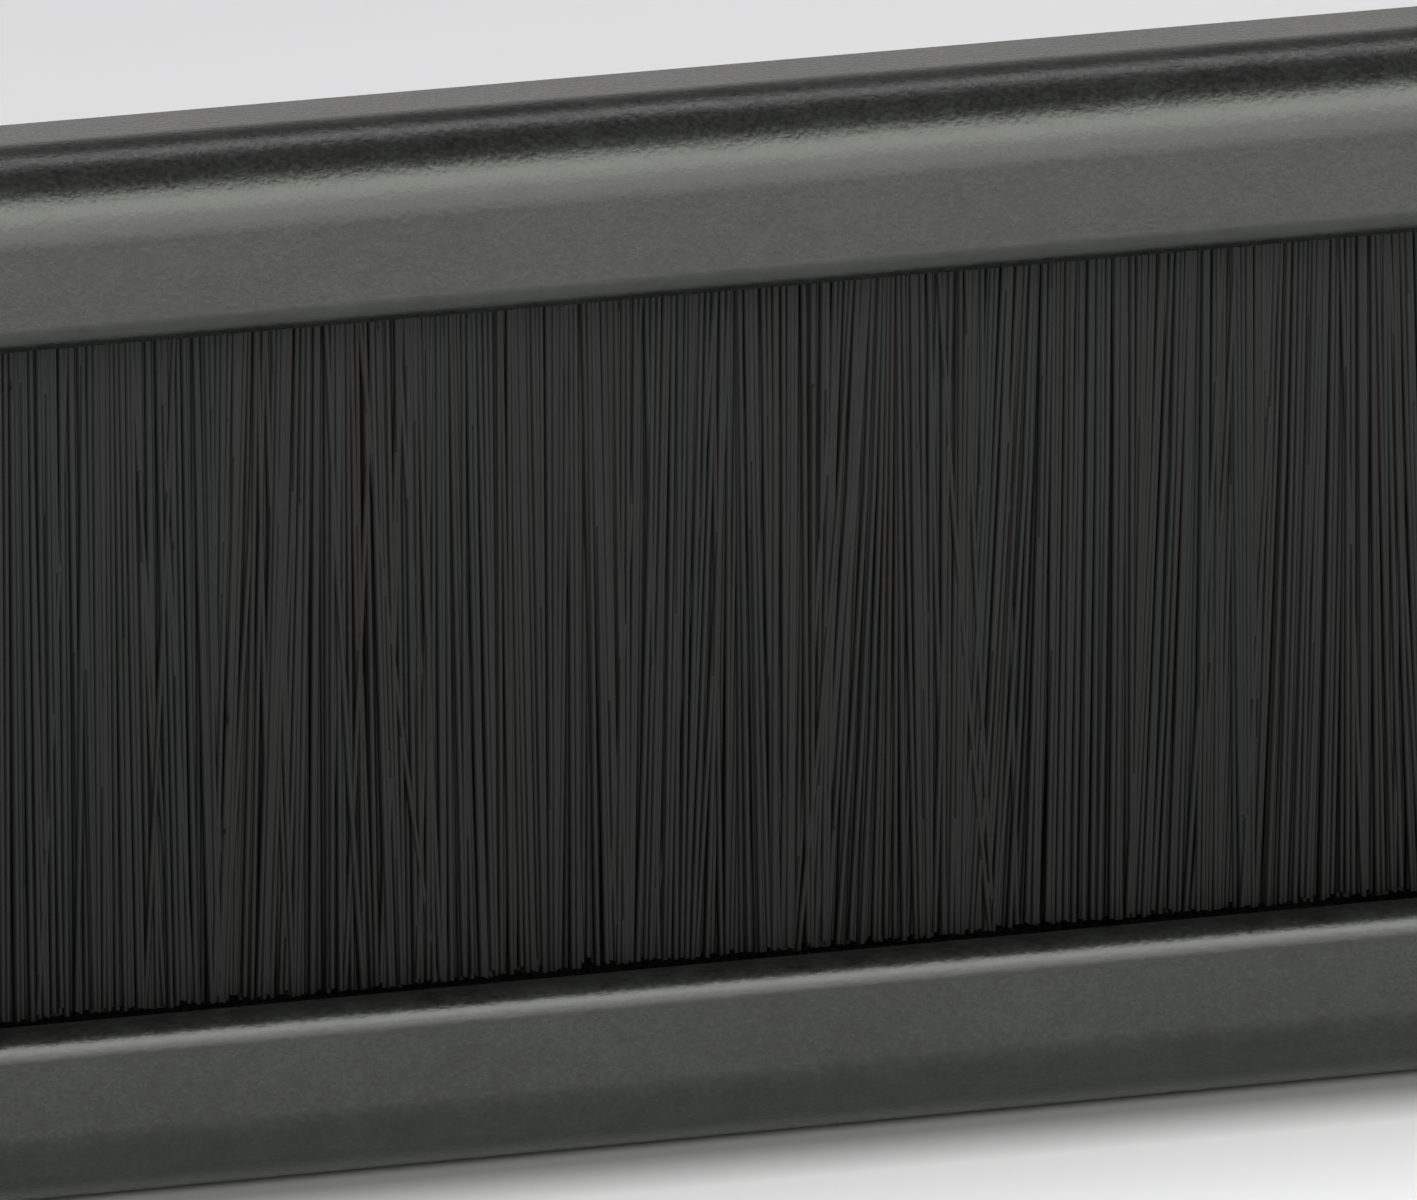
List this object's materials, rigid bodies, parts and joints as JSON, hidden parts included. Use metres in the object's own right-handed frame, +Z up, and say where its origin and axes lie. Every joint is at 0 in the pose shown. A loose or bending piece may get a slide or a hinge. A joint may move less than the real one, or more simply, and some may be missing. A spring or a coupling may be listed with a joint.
{
  "type": "rack brush strip panel",
  "caption": "Folded steel rack panel with slotted ears and a long cable window, curtained by nylon bristles hanging from a strip brush clamped behind its upper border.",
  "frame": {"origin": "centre of the pattern of four rack slots, on the back face of the ears, which is the face that meets the rack posts", "axes": "+X along the panel, +Y back into the rack, +Z up; the front face looks towards -Y"},
  "size_m": [0.4826, 0.0075, 0.044],
  "materials": {
    "panel_powder_coat": "satin black powder coat with a fine texture",
    "zinc_plate": "bright zinc plate",
    "galvanised_strip": "galvanised steel strip, dull",
    "steel_wire": "drawn steel wire",
    "nylon_bristle": "black nylon filament with a soft sheen",
    "stud_steel": "copper-flashed steel, masked from the powder coat",
    "fastener_zinc": "bright zinc plate"
  },
  "bodies": {
    "root": {"front_panel": "panel_powder_coat", "clamp_rail": "zinc_plate", "strip_channel": "galvanised_strip", "core_wire": "steel_wire", "bristles": "nylon_bristle", "weld_studs": "stud_steel", "washers": "fastener_zinc", "nuts": "fastener_zinc"}
  },
  "joints": []
}
